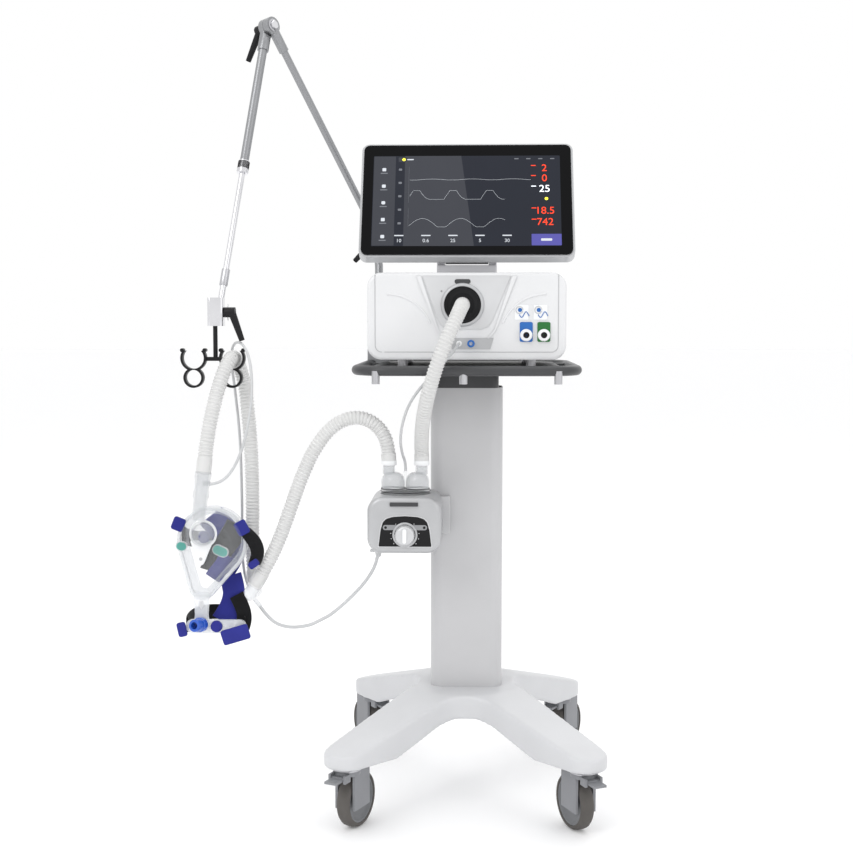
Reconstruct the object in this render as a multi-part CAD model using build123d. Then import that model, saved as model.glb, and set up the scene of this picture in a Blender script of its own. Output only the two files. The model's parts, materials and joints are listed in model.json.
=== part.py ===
from build123d import *
import math
import os

# Mechanical ventilator on a four-caster cart, with a jointed circuit support arm, a heated
# humidifier and a breathing circuit that ends in a full-face mask.  Millimetres, +Z up, -Y is
# the front, and the origin is on the floor under the centre of the column.

# ---- driving dimensions -------------------------------------------------------------------
WHEEL_R, WHEEL_W, TRAIL = 50.0, 26.0, 32.0
AXLE_R, RUNNING_GAP = 5.0, 0.05
CASTERS = {"front_left": (-207, -238, 65), "front_right": (207, -238, 115),
           "rear_left": (-192, 225, 120), "rear_right": (192, 225, 60)}
LEG_END_R, HUB_R, LEG_BOTTOM, LEG_TOP, HUB_TOP = 40.0, 92.0, 118.0, 146.0, 208.0
COLUMN_W, COLUMN_D, COLUMN_TOP, WALL = 134.0, 100.0, 770.0, 3.0
TRAY_BOTTOM, TRAY_TOP, TRAY_HALF, TRAY_FRONT, TRAY_BACK = 800.0, 812.0, 168.0, -150.0, 160.0
RAIL_R, RAIL_Z, RAIL_HALF, RAIL_FRONT, RAIL_BACK, RAIL_CORNER = 9.0, 806.0, 196.0, -190.0, 200.0, 60.0
HOUSING_W, HOUSING_BOTTOM, HOUSING_TOP, HOUSING_FRONT, HOUSING_BACK = 352.0, 824.0, 978.0, -140.0, 150.0
PANEL_FRONT = -152.0
PORT = (-7.0, 921.0)
CONNECTOR_R, CONNECTOR_BORE, CONNECTOR_FRONT = 11.0, 9.0, -176.0
TILT = math.radians(26)
GLASS_W, GLASS_H, MONITOR_T = 374.0, 224.0, 30.0
HINGE_Y, HINGE_Z, BARREL_R = -75.0, 1006.0, 11.0
HUM_X0, HUM_X1, HUM_FRONT, HUM_BACK, HUM_Z0, HUM_Z1 = -174.0, -44.0, -190.0, -66.0, 484.0, 584.0
CHAMBER = (-109.0, -128.0)
CHAMBER_R, CHAMBER_BOTTOM, CHAMBER_TOP, STUB_TOP = 45.0, 576.0, 612.0, 636.0
LEFT_STUB_X, RIGHT_STUB_X = -139.0, -80.0
HOSE_R, CABLE_R, LINE_R = 13.0, 3.0, 2.5
ELBOW = Vector(-178, 182, 1048)
TOP = Vector(-371, 20, 1440)
LOW = Vector(-436, -150, 926)
ARM_R, ROD_R, HEAD_R, HEAD_T, HEAD_GAP, SCREW_R = 7.0, 5.5, 16.0, 12.0, 0.25, 4.0
HOOK_Y, HOOK_HALF_T = -150.0, 7.0
HOOKS_X = (-485.0, -416.0)
MASK = (-452.0, 500.0)
MASK_R, NOSE_X, NOSE_R, NOSE_Z = 60.0, -470.0, 22.0, 421.0
MASK_FRONT, MASK_BACK, CUSHION_BACK = -205.0, -165.0, -140.0

# ---- routes of the hoses and lines: the corners of each centreline -----------------------
SHORT_HOSE = [(-7, -176, 921), (-7, -200, 921), (-17, -224, 898), (-35, -236, 858), (-52, -237, 812),
              (-66, -222, 765), (-75, -190, 724), (-79, -158, 692), (-80, -137, 668), (-80, -128, 652),
              (-80, -128, 636)]
LIMB_A = [(-139, -128, 636), (-139, -128, 660), (-147, -131, 690), (-166, -134, 712), (-193, -138, 722),
          (-223, -141, 716), (-251, -144, 694), (-276, -146, 656), (-286.5, -147, 632)]
LIMB_B = [(-286.5, -147, 632), (-297, -148, 608), (-315, -150, 556), (-334, -151, 503), (-357, -151, 455),
          (-380, -150, 418)]
LIMB_C = [(-388, -108, 418), (-390, -106, 450), (-391, -105, 492), (-390, -105, 545), (-390, -106, 600),
          (-391, -107, 652), (-394, -106, 700), (-398, -105, 742)]
LIMB_D = [(-398, -105, 742), (-400.8, -104.3, 771.4), (-407, -108, 800), (-412, -122, 822), (-416, -146, 830),
          (-421, -168, 820), (-430, -180, 794), (-440, -190, 756), (-449, -200, 711), (-454, -210, 667),
          (-457, -218, 628)]
CABLE_A = [(-158, -135, 484), (-159, -135, 464), (-174, -137, 432), (-206, -140, 396), (-243, -143, 364),
           (-263, -144.5, 354)]
CABLE_B = [(-263, -144.5, 354), (-283, -146, 344), (-321, -147, 340), (-353, -146, 352), (-372, -142, 378)]
LINE_C = [(-400, -98, 404), (-408, -92, 422), (-412, -90, 455), (-413, -90, 500), (-412, -89, 550),
          (-413, -88, 602), (-414, -87, 655), (-417, -86, 705), (-421, -87, 745)]
LINE_D = [(-421, -87, 745), (-424.6, -87.9, 781), (-428, -97, 816), (-424, -112, 842), (-413, -132, 856),
          (-397, -154, 853), (-383, -174, 834), (-375, -191, 801), (-373, -203, 759), (-378, -213, 716),
          (-387, -221, 672), (-404, -225, 634), (-426, -226, 612), (-445, -224, 610)]
SENSOR_LINE = [(-13, -160, 853), (-13, -178, 853), (-24, -200, 838), (-40, -211, 820), (-58, -212, 800),
               (-80, -206, 777), (-100, -196, 748), (-112, -182, 714), (-117, -164, 682), (-114, -146, 656),
               (-109, -128, 639), (-109, -128, 624)]


# ---- helpers -------------------------------------------------------------------------------
def block(x0, x1, y0, y1, z0, z1):
    return Pos((x0 + x1) / 2, (y0 + y1) / 2, (z0 + z1) / 2) * Box(x1 - x0, y1 - y0, z1 - z0)


def rod(start, end, radius, end_radius=None):
    """A round bar, or a cone, between two points."""
    start, end = Vector(start), Vector(end)
    place = Plane(origin=start, z_dir=(end - start).normalized())
    length = (end - start).length
    if end_radius is None:
        return place * extrude(Circle(radius), length)
    return place * Pos(0, 0, length / 2) * Cone(radius, end_radius, length)


def drum(x, y, z0, z1, radius):
    return rod((x, y, z0), (x, y, z1), radius)


def front_slab(sketch, y_front, y_back):
    """A sketch drawn in X and Z, extruded from y_front back to y_back."""
    return Plane(origin=(0, y_front, 0), x_dir=(1, 0, 0), z_dir=(0, -1, 0)) * extrude(sketch, y_front - y_back)


def tube(name, route, radius):
    """A plain round tube along straight runs joined by tangent arcs."""
    points = [Vector(*p) for p in route]
    runs = [b - a for a, b in zip(points, points[1:])]
    radii = []
    for a, b in zip(runs, runs[1:]):
        turn = math.radians(a.get_angle(b))
        radii.append(0.45 * min(a.length, b.length) / math.tan(turn / 2))
    path = FilletPolyline(*points, radius=radii)
    solid = sweep(Plane(origin=points[0], z_dir=runs[0].normalized()) * Circle(radius), path=path)
    full = math.pi * radius ** 2 * path.length
    print(name, "length", round(path.length), "smallest radius", round(min(radii)),
          "volume ratio", round(solid.volume / full, 3))
    return solid


def save(name, *solids):
    shape = solids[0] if len(solids) == 1 else Compound(children=list(solids))
    export_step(shape, f"parts/{name}.step")


# ---- cart ------------------------------------------------------------------------------------
def base():
    plan = Circle(HUB_R)
    for x, y, _ in CASTERS.values():
        plan += make_hull((Circle(HUB_R * 0.62) + Pos(x, y) * Circle(LEG_END_R)).edges())
    plan = offset(offset(plan, 70, kind=Kind.ARC), -70, kind=Kind.ARC)
    profile = Polyline((0, 166), (105, 166), (235, LEG_BOTTOM), (400, LEG_BOTTOM), (400, LEG_TOP - 6),
                       (330, LEG_TOP), (110, HUB_TOP), (0, HUB_TOP), (0, 166))
    disc = revolve(Plane.XZ * make_face(profile), Axis.Z)
    return disc & (Pos(0, 0, 100) * extrude(plan, 140))


def caster_plates():
    return [drum(x, y, LEG_BOTTOM - 6, LEG_BOTTOM, 24) for x, y, _ in CASTERS.values()]


def caster_fork():
    """Swivel fork about its own swivel axis, with the wheel trailing along +X."""
    crown = drum(0, 0, 104, LEG_BOTTOM - 6.2, 24)
    cheeks = block(-6, 46, 15, 20, 40, 106) + block(-6, 46, -20, -15, 40, 106)
    hood = block(-6, 46, -20, 20, 104, 110)
    axle = rod((TRAIL, -20, WHEEL_R), (TRAIL, 20, WHEEL_R), AXLE_R)
    ears = block(-34, -16, 12.5, 17, 96, 110) + block(-34, -16, -17, -12.5, 96, 110)
    ears -= rod((-29, -20, 102), (-29, 20, 102), 2 + RUNNING_GAP)
    return crown + hood + cheeks + axle + ears


def caster_wheel():
    half = WHEEL_W / 2
    bar = rod((TRAIL, -half, WHEEL_R), (TRAIL, half, WHEEL_R), 40)
    tyre = fillet(rod((TRAIL, -half, WHEEL_R), (TRAIL, half, WHEEL_R), WHEEL_R).edges(), 6) - bar
    hub = bar - rod((TRAIL, -half, WHEEL_R), (TRAIL, half, WHEEL_R), AXLE_R + RUNNING_GAP)
    return [tyre, hub]


def brake_pedal():
    barrel = rod((-29, -12, 102), (-29, 12, 102), 4) + rod((-29, -17, 102), (-29, 17, 102), 2)
    return barrel + block(-56, -29, -12, 12, 100, 104)


def column():
    outer = extrude(RectangleRounded(COLUMN_W, COLUMN_D, 22), COLUMN_TOP - HUB_TOP)
    inner = extrude(RectangleRounded(COLUMN_W - 2 * WALL, COLUMN_D - 2 * WALL, 19), COLUMN_TOP - HUB_TOP)
    return Pos(0, 0, HUB_TOP) * (outer - inner)


def column_head():
    return Pos(0, 0, COLUMN_TOP) * extrude(RectangleRounded(118, 130, 12), TRAY_BOTTOM - COLUMN_TOP)


def rail():
    middle_y = (RAIL_FRONT + RAIL_BACK) / 2
    loop = RectangleRounded(2 * RAIL_HALF, RAIL_BACK - RAIL_FRONT, RAIL_CORNER)
    path = (Pos(0, middle_y, RAIL_Z) * loop).wires()[0]
    start = path @ 0
    return sweep(Plane(origin=start, z_dir=path % 0) * Circle(RAIL_R), path=path)


def tray(rail_solid):
    middle_y = (TRAY_FRONT + TRAY_BACK) / 2
    plate = Pos(0, middle_y, TRAY_BOTTOM) * extrude(
        RectangleRounded(2 * TRAY_HALF, TRAY_BACK - TRAY_FRONT, 30), TRAY_TOP - TRAY_BOTTOM)
    for y in (-95, 95):
        plate += block(-RAIL_HALF, RAIL_HALF, y - 14, y + 14, TRAY_BOTTOM + 1, TRAY_TOP - 1)
    return plate - rail_solid


def tray_fasteners(rail_solid):
    knobs = [drum(x, RAIL_FRONT, RAIL_Z - RAIL_R - 14, RAIL_Z, 7) - rail_solid for x in (-158, -5, 160)]
    return [drum(x, y, TRAY_TOP, HOUSING_BOTTOM, 9) for x in (-115, 115) for y in (-110, 110)] + [
        max(k.solids(), key=lambda s: s.volume) for k in knobs]


# ---- ventilator ----------------------------------------------------------------------------
def housing():
    height = HOUSING_TOP - HOUSING_BOTTOM
    middle = Pos(0, (HOUSING_TOP + HOUSING_BOTTOM) / 2)
    outer = front_slab(middle * RectangleRounded(HOUSING_W, height, 26), HOUSING_FRONT, HOUSING_BACK)
    inner = front_slab(middle * RectangleRounded(HOUSING_W - 2 * WALL, height - 2 * WALL, 23),
                       HOUSING_FRONT - 1, HOUSING_BACK - WALL)
    return outer - inner


def front_panel():
    height = HOUSING_TOP - HOUSING_BOTTOM
    middle = Pos(0, (HOUSING_TOP + HOUSING_BOTTOM) / 2)
    slab = front_slab(middle * RectangleRounded(HOUSING_W, height, 26), PANEL_FRONT, HOUSING_FRONT)
    slab = fillet(slab.faces().sort_by(Axis.Y)[0].outer_wire().edges(), 6)
    hole = rod((PORT[0], PANEL_FRONT - 1, PORT[1]), (PORT[0], HOUSING_FRONT + 1, PORT[1]), 34)
    return slab - hole


def port_ring():
    x, z = PORT
    ring = rod((x, PANEL_FRONT - 5, z), (x, HOUSING_FRONT, z), 34)
    dish = rod((x, PANEL_FRONT - 5, z), (x, HOUSING_FRONT - 3, z), 29, 20)
    bore = rod((x, PANEL_FRONT - 6, z), (x, HOUSING_FRONT + 1, z), CONNECTOR_R)
    return ring - dish - bore


def port_connector():
    x, z = PORT
    outside = rod((x, CONNECTOR_FRONT, z), (x, -100, z), CONNECTOR_R)
    return outside - rod((x, CONNECTOR_FRONT - 1, z), (x, -99, z), CONNECTOR_BORE)


def sensor_ports():
    ports = []
    for x in (105, 136):
        tile = block(x - 11, x + 11, PANEL_FRONT - 3, PANEL_FRONT, 856, 890)
        nipple = rod((x, PANEL_FRONT - 12, 868), (x, PANEL_FRONT, 868), 9)
        bore = rod((x, PANEL_FRONT - 13, 868), (x, PANEL_FRONT - 2, 868), 4)
        ports.append(tile + nipple - bore)
    for x in (-13, 8):
        ports.append(rod((x, -160, 853), (x, PANEL_FRONT, 853), 5))
    return ports


def blower():
    x, z = PORT
    body = drum(x, 30, 880, 945, 52) + drum(x, 30, HOUSING_BOTTOM + WALL, 880, 22)
    outlet = rod((x, -100, z), (x, 0, z), 13)
    return body + outlet


def oxygen_inlet():
    return rod((-120, HOUSING_BACK, 870), (-120, HOUSING_BACK + 18, 870), 8)


def hinge_bracket():
    foot = block(-54, 54, HINGE_Y - 14, HINGE_Y + 30, HOUSING_TOP, HINGE_Z - BARREL_R - 2)
    ears = [rod((x, HINGE_Y, HINGE_Z), (x + 14, HINGE_Y, HINGE_Z), BARREL_R)
            + block(x, x + 14, HINGE_Y - BARREL_R, HINGE_Y + BARREL_R, HOUSING_TOP, HINGE_Z)
            for x in (-54, 40)]
    pin_hole = rod((-60, HINGE_Y, HINGE_Z), (60, HINGE_Y, HINGE_Z), 5 + RUNNING_GAP)
    return foot + ears[0] + ears[1] - pin_hole


def monitor_frame():
    """The plane of the glass: X to the right, Y up the glass, Z out of it."""
    return Plane(origin=(0, -150, 1010), x_dir=(1, 0, 0), z_dir=(0, -math.cos(TILT), math.sin(TILT)))


def monitor_back():
    frame = monitor_frame()
    shell = Pos(0, GLASS_H / 2, -MONITOR_T) * extrude(RectangleRounded(GLASS_W + 8, GLASS_H + 8, 14),
                                                      MONITOR_T - 3)
    shell = fillet(shell.faces().sort_by(Axis.Z)[0].outer_wire().edges(), 8)
    hinge = frame.to_local_coords(Vector(0, HINGE_Y, HINGE_Z))
    link = block(-38, 38, hinge.Y - 9, hinge.Y + 9, hinge.Z, -MONITOR_T + 1)
    barrel = rod((-39, HINGE_Y, HINGE_Z), (39, HINGE_Y, HINGE_Z), BARREL_R)
    pin = rod((-53, HINGE_Y, HINGE_Z), (53, HINGE_Y, HINGE_Z), 5)
    return frame * (shell + link) + barrel + pin


def monitor_glass():
    return monitor_frame() * (Pos(0, GLASS_H / 2, -3) * extrude(RectangleRounded(GLASS_W, GLASS_H, 11), 3))


# ---- humidifier ----------------------------------------------------------------------------
def humidifier_body():
    middle = Pos((HUM_X0 + HUM_X1) / 2, (HUM_Z0 + HUM_Z1) / 2)
    body = front_slab(middle * RectangleRounded(HUM_X1 - HUM_X0, HUM_Z1 - HUM_Z0, 26), HUM_FRONT, HUM_BACK)
    body = fillet(body.faces().sort_by(Axis.Y)[0].outer_wire().edges(), 9)
    body -= drum(*CHAMBER, CHAMBER_BOTTOM, HUM_Z1 + 1, CHAMBER_R)
    body -= rod((-107, HUM_FRONT - 1, 518), (-107, HUM_FRONT + 14, 518), 4 + RUNNING_GAP)
    return body - block(-134, -84, HUM_FRONT - 1, HUM_FRONT + 9, 568, 575)


def humidifier_panel():
    outline = make_face(Polyline((-153, 498), (-61, 498), (-66, 540), (-78, 551), (-136, 551), (-148, 540),
                                 (-153, 498)))
    return front_slab(outline, HUM_FRONT - 2, HUM_FRONT) - rod((-107, -200, 518), (-107, -180, 518), 5)


def dial():
    knob = rod((-107, HUM_FRONT - 18, 518), (-107, HUM_FRONT - 3, 518), 18)
    grip = block(-110, -104, HUM_FRONT - 22, HUM_FRONT - 17, 503, 533)
    return knob + grip + rod((-107, HUM_FRONT - 4, 518), (-107, HUM_FRONT + 13, 518), 4)


def latch_button():
    return block(-133.6, -84.4, HUM_FRONT - 4, HUM_FRONT + 4, 568.4, 574.6)


def water_chamber():
    pot = drum(*CHAMBER, CHAMBER_BOTTOM, CHAMBER_TOP, CHAMBER_R)
    pot -= drum(*CHAMBER, CHAMBER_BOTTOM + WALL, CHAMBER_TOP - WALL, CHAMBER_R - WALL)
    for x in (LEFT_STUB_X + 4, RIGHT_STUB_X - 4):
        pot += drum(x, CHAMBER[1], CHAMBER_TOP - WALL, CHAMBER_TOP + 10, 17)
    for x in (LEFT_STUB_X, RIGHT_STUB_X):
        pot += drum(x, CHAMBER[1], CHAMBER_TOP - WALL, STUB_TOP, CONNECTOR_R)
        pot -= drum(x, CHAMBER[1], CHAMBER_TOP - WALL - 1, STUB_TOP + 1, CONNECTOR_BORE)
    return pot + drum(*CHAMBER, CHAMBER_TOP - WALL, 624, 5)


# ---- support arm -----------------------------------------------------------------------------
LOWER_WAY = TOP - ELBOW
ELBOW_AXIS = Vector(LOWER_WAY.Y, -LOWER_WAY.X, 0).normalized()
TOP_AXIS = LOWER_WAY.cross(LOW - TOP).normalized()


def head(center, axis, side):
    """One of the two round plates of a joint, beside the joint's centre."""
    near = center + axis * (side * HEAD_GAP)
    far = center + axis * (side * (HEAD_GAP + HEAD_T))
    return rod(near, far, HEAD_R) - rod(center - axis * 20, center + axis * 20, SCREW_R + RUNNING_GAP)


def head_middle(center, axis, side):
    return center + axis * (side * (HEAD_GAP + HEAD_T / 2))


def beyond_head(center, axis, side):
    """The space past a head's outer face, which a lever's hub needs."""
    return rod(center + axis * (side * (HEAD_GAP + HEAD_T)), center + axis * (side * 40), HEAD_R + 3)


def lever(center, axis, side, tip):
    """A clamp lever: screw through the joint, hub beside it and a handle that leans out."""
    reach = HEAD_GAP + HEAD_T
    screw = rod(center - axis * (side * reach), center + axis * (side * (reach + 4)), SCREW_R)
    hub_start = center + axis * (side * (reach + 0.5))
    hub_end = center + axis * (side * (reach + 20))
    elbow = center + axis * (side * (reach + 13))
    return screw + rod(hub_start, hub_end, 9) + rod(elbow, tip, 7, 5)


def post_clamp(rail_solid):
    body = block(ELBOW.X - 22, ELBOW.X + 22, 162, 206, 788, 846) - rail_solid
    body = max(body.solids(), key=lambda s: s.volume)
    return body - drum(ELBOW.X, ELBOW.Y, 817, 847, 8 + RUNNING_GAP)


def arm_post():
    collar = drum(ELBOW.X, ELBOW.Y, 846.5, 858, 14)
    top_of_post = head_middle(ELBOW, ELBOW_AXIS, 1)
    post = drum(ELBOW.X, ELBOW.Y, 818, 1006, 8) + rod((ELBOW.X, ELBOW.Y, 1000), top_of_post, 8)
    bored = post - rod(ELBOW - ELBOW_AXIS * 20, ELBOW + ELBOW_AXIS * 20, SCREW_R + RUNNING_GAP)
    keep_off = rod(ELBOW - ELBOW_AXIS * 20, ELBOW + ELBOW_AXIS * HEAD_GAP, HEAD_R + 2)
    keep_off += beyond_head(ELBOW, ELBOW_AXIS, 1)
    return collar + (bored - keep_off) + head(ELBOW, ELBOW_AXIS, 1)


def link(start, end, start_axis, end_axis, start_side, end_side, radius):
    """A tube between two joints, with a sleeve at each end and none of it in the joints' other halves."""
    a, b = head_middle(start, start_axis, start_side), head_middle(end, end_axis, end_side)
    way = (b - a).normalized()
    bar = rod(a, b, radius) + rod(a, a + way * 52, 9.5) + rod(b, b - way * 52, 9.5)
    for center, axis, side in ((start, start_axis, start_side), (end, end_axis, end_side)):
        bar -= rod(center + axis * (side * HEAD_GAP), center - axis * (side * 30), HEAD_R + 3)
        bar -= rod(center - axis * 20, center + axis * 20, SCREW_R + RUNNING_GAP)
    return bar


def lower_arm():
    bar = link(ELBOW, TOP, ELBOW_AXIS, TOP_AXIS, -1, 1, ARM_R)
    return bar + head(ELBOW, ELBOW_AXIS, -1) + head(TOP, TOP_AXIS, 1)


def drop_points():
    start = head_middle(TOP, TOP_AXIS, -1)
    way = (LOW - start).normalized()
    return start, way, (LOW - start).length


def upper_arm():
    start, way, length = drop_points()
    bar = rod(start, start + way * (0.5 * length), ARM_R + 1) + rod(start, start + way * 48, 10.5)
    bar -= rod(TOP - TOP_AXIS * HEAD_GAP, TOP + TOP_AXIS * 30, HEAD_R + 3)
    bar -= rod(TOP - TOP_AXIS * 20, TOP + TOP_AXIS * 20, SCREW_R + RUNNING_GAP)
    return bar - beyond_head(TOP, TOP_AXIS, -1) + head(TOP, TOP_AXIS, -1)


def extension_rod():
    start, way, length = drop_points()
    collar = rod(start + way * (0.5 * length), start + way * (0.5 * length + 24), 10)
    return collar + rod(start + way * (0.5 * length + 20), LOW, ROD_R)


def tilt_bracket(rod_solid):
    body = block(-458, -430, -164, -136, 884, 934)
    body = fillet(body.edges().filter_by(Axis.Z), 5)
    body -= rod((-446, -150, 880), (-446, -150, 902), 4)
    body -= rod((-441, -150, 908), (-424, -150, 908), SCREW_R + RUNNING_GAP)
    body = body - rod_solid
    return max(body.solids(), key=lambda s: s.volume)


def bracket_lever():
    hub = rod((-429.5, -150, 908), (-410, -150, 908), 9)
    screw = rod((-440, -150, 908), (-429, -150, 908), SCREW_R)
    return hub + screw + rod((-416, -150, 908), (-398, -152, 858), 7, 5)


def hose_hooks():
    hooks = None
    for x in HOOKS_X:
        outside = Pos(x, 792) * Circle(18) + Pos(x, 827) * Circle(23)
        inside = Pos(x, 792) * Circle(14) + Pos(x, 827) * Circle(19)
        mouth = Pos(x, 858) * Rectangle(60, 36)
        lips = Pos(x - 20, 841) * Circle(3.4) + Pos(x + 20, 841) * Circle(3.4)
        hook = front_slab(outside - inside - mouth + lips, HOOK_Y - HOOK_HALF_T, HOOK_Y + HOOK_HALF_T)
        hooks = hook if hooks is None else hooks + hook
    bar = block(HOOKS_X[0] + 20.5, HOOKS_X[1] - 20.5, HOOK_Y - 4, HOOK_Y + 4, 822, 829)
    return hooks + bar + rod((-446, -150, 825), (-446, -150, 902), 4)


# ---- breathing circuit -----------------------------------------------------------------------
def nipple(tip, before, root):
    """A short spigot whose end face meets a thin line's end, joined back to its body."""
    tip, before = Vector(*tip), Vector(*before)
    base_point = tip + (tip - before).normalized() * 7
    return rod(tip, base_point, 4) + rod(base_point, root, 4) + Pos(*base_point) * Sphere(4)


def circuit_junction():
    stubs = []
    for route, end, before in ((LIMB_B, -1, -2), (LIMB_C, 0, 1)):
        tip, inner = Vector(*route[end]), Vector(*route[before])
        stubs.append((tip, tip + (tip - inner).normalized() * 18))
    body = rod(stubs[0][1], stubs[1][1], 13) + Pos(*stubs[0][1]) * Sphere(13) + Pos(*stubs[1][1]) * Sphere(13)
    for tip, end in stubs:
        body += rod(tip, end, 12)
    body += nipple(CABLE_B[-1], CABLE_B[-2], stubs[0][1])
    return body + nipple(LINE_C[0], LINE_C[1], stubs[1][1])


def mask_outline(grow):
    big = Pos(MASK[0], MASK[1]) * Circle(MASK_R + grow)
    small = Pos(NOSE_X, NOSE_Z) * Circle(NOSE_R + grow)
    return make_hull((big + small).edges())


def mask_frame():
    bowl = front_slab(mask_outline(0), MASK_FRONT, MASK_BACK)
    bowl = fillet(bowl.faces().sort_by(Axis.Y)[0].outer_wire().edges(), 14)
    bowl -= front_slab(mask_outline(-5), MASK_FRONT + 5, MASK_BACK + 1)
    stem = block(-484, -456, -187, -178, 350, 402)
    brow = block(-503, -388, -187, -176, 338, 362)
    return bowl + stem + brow


def mask_cushion():
    return front_slab(mask_outline(2) - mask_outline(-13), MASK_BACK, CUSHION_BACK)


def headgear():
    straps = []
    for z0, z1, x0, x1, front in ((478, 512, -506, -421, -138), (336, 364, -500, -420, -174)):
        outer = block(x0, x1, front, -86, z0, z1)
        straps.append(outer - block(x0 + 4, x1 - 4, front - 1, -90, z0 - 1, z1 + 1))
    return straps


def mask_elbow():
    end, before = Vector(*LIMB_D[-1]), Vector(*LIMB_D[-2])
    way = (end - before).normalized()
    swivel = rod(end, end + way * 66, 12)
    knee = rod((-461, -240, 522), (-461, MASK_FRONT, 522), 19)
    spigot = nipple(LINE_D[-1], LINE_D[-2], end + way * 18)
    return swivel + knee + rod(end + way * 60, (-461, -226, 524), 12) + spigot


# ---- write every part --------------------------------------------------------------------------
os.makedirs("parts", exist_ok=True)
rail_solid = rail()
rod_solid = extension_rod()

save("base", base())
save("caster_plates", *caster_plates())
fork, wheel, pedal = caster_fork(), caster_wheel(), brake_pedal()
for corner, (x, y, angle) in CASTERS.items():
    place = Pos(x, y, 0) * Rot(0, 0, angle)
    save(f"{corner}_fork", place * fork)
    save(f"{corner}_wheel", *[place * piece for piece in wheel])
    save(f"{corner}_brake", place * pedal)
save("column", column())
save("column_head", column_head())
save("handle_rail", rail_solid)
save("tray", tray(rail_solid))
save("tray_fasteners", *tray_fasteners(rail_solid))

save("housing", housing())
save("front_panel", front_panel())
save("port_ring", port_ring())
save("port_connector", port_connector())
save("sensor_ports", *sensor_ports())
save("blower", blower())
save("oxygen_inlet", oxygen_inlet())
save("hinge_bracket", hinge_bracket())
save("monitor_back", monitor_back())
save("monitor_glass", monitor_glass())

save("humidifier_bracket", block(-100, -30, HUM_BACK, -COLUMN_D / 2, 500, 570))
save("humidifier_body", humidifier_body())
save("humidifier_panel", humidifier_panel())
save("dial", dial())
save("latch_button", latch_button())
save("water_chamber", water_chamber())

save("post_clamp", post_clamp(rail_solid))
save("arm_post", arm_post())
save("elbow_lever", lever(ELBOW, ELBOW_AXIS, 1, ELBOW + ELBOW_AXIS * 46 + Vector(-22, 0, -34)))
save("lower_arm", lower_arm())
save("top_lever", lever(TOP, TOP_AXIS, -1, TOP - TOP_AXIS * 48 + Vector(-8, 0, -52)))
save("upper_arm", upper_arm())
save("extension_rod", rod_solid)
save("tilt_bracket", tilt_bracket(rod_solid))
save("bracket_lever", bracket_lever())
save("hose_hooks", hose_hooks())

save("circuit_junction", circuit_junction())
for name, route, radius in (
        ("short_hose", SHORT_HOSE, HOSE_R), ("limb_hose_a", LIMB_A, HOSE_R), ("limb_hose_b", LIMB_B, HOSE_R),
        ("limb_hose_c", LIMB_C, HOSE_R), ("limb_hose_d", LIMB_D, HOSE_R), ("cable_a", CABLE_A, CABLE_R),
        ("cable_b", CABLE_B, CABLE_R), ("pressure_line_c", LINE_C, LINE_R),
        ("pressure_line_d", LINE_D, LINE_R), ("sensor_line", SENSOR_LINE, LINE_R)):
    save(name, tube(name, route, radius))
save("mask_frame", mask_frame())
save("mask_cushion", mask_cushion())
save("headgear", *headgear())
save("mask_elbow", mask_elbow())
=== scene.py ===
import json
import math

import bmesh
import bpy
import numpy as np
from mathutils import Matrix, Vector


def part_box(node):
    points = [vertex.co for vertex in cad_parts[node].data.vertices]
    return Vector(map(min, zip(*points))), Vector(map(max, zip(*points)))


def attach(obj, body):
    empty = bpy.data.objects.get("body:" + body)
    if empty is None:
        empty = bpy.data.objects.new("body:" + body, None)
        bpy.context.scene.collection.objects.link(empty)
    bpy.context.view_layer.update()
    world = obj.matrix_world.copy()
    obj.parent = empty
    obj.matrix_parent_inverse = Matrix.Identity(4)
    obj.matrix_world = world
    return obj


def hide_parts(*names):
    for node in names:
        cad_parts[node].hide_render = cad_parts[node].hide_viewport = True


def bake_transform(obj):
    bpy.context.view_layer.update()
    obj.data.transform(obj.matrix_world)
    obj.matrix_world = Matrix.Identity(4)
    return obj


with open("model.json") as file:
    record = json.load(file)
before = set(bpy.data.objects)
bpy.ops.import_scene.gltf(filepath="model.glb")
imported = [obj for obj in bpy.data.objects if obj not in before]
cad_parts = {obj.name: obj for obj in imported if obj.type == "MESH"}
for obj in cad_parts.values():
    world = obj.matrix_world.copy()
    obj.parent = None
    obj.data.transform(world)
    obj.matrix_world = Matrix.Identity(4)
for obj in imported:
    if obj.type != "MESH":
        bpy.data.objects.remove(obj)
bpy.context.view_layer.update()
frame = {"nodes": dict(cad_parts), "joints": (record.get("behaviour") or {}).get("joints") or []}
nodes = frame["nodes"]

MM = 0.001
CORNERS = ("front_left", "front_right", "rear_left", "rear_right")
SIDES = ((-1, "left"), (1, "right"))
RIGHT, UP, FORWARDS = (1, 0, 0), (0, 0, 1), (0, -1, 0)
JOINTS = {joint["name"]: joint for joint in frame["joints"]}


def link(made):
    bpy.context.scene.collection.objects.link(made)


def joint_place(name):
    """Where a joint is, in millimetres, and its axis."""
    return Vector(JOINTS[name]["pos_m"]) / MM, Vector(JOINTS[name]["axis"])


# ---- camera ----
CAMERA_PLACE = Vector((0.016, -2.54, 0.895))
CAMERA_AIM = Vector((-0.076, 0.0, 0.694))
CAMERA_LENS = 57.0


def make_camera():
    data = bpy.data.cameras.new("camera")
    data.lens = CAMERA_LENS
    camera = bpy.data.objects.new("camera", data)
    camera.location = CAMERA_PLACE
    camera.rotation_mode = "QUATERNION"
    camera.rotation_quaternion = (CAMERA_AIM - camera.location).to_track_quat("-Z", "Y")
    link(camera)
    bpy.context.scene.camera = camera


make_camera()


# ---- materials ----
def set_inputs(node, inputs):
    for key, value in inputs.items():
        node.inputs[key.replace("_", " ")].default_value = value


def add_node(tree, kind, **inputs):
    made = tree.nodes.new("ShaderNode" + kind)
    set_inputs(made, inputs)
    return made


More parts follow.
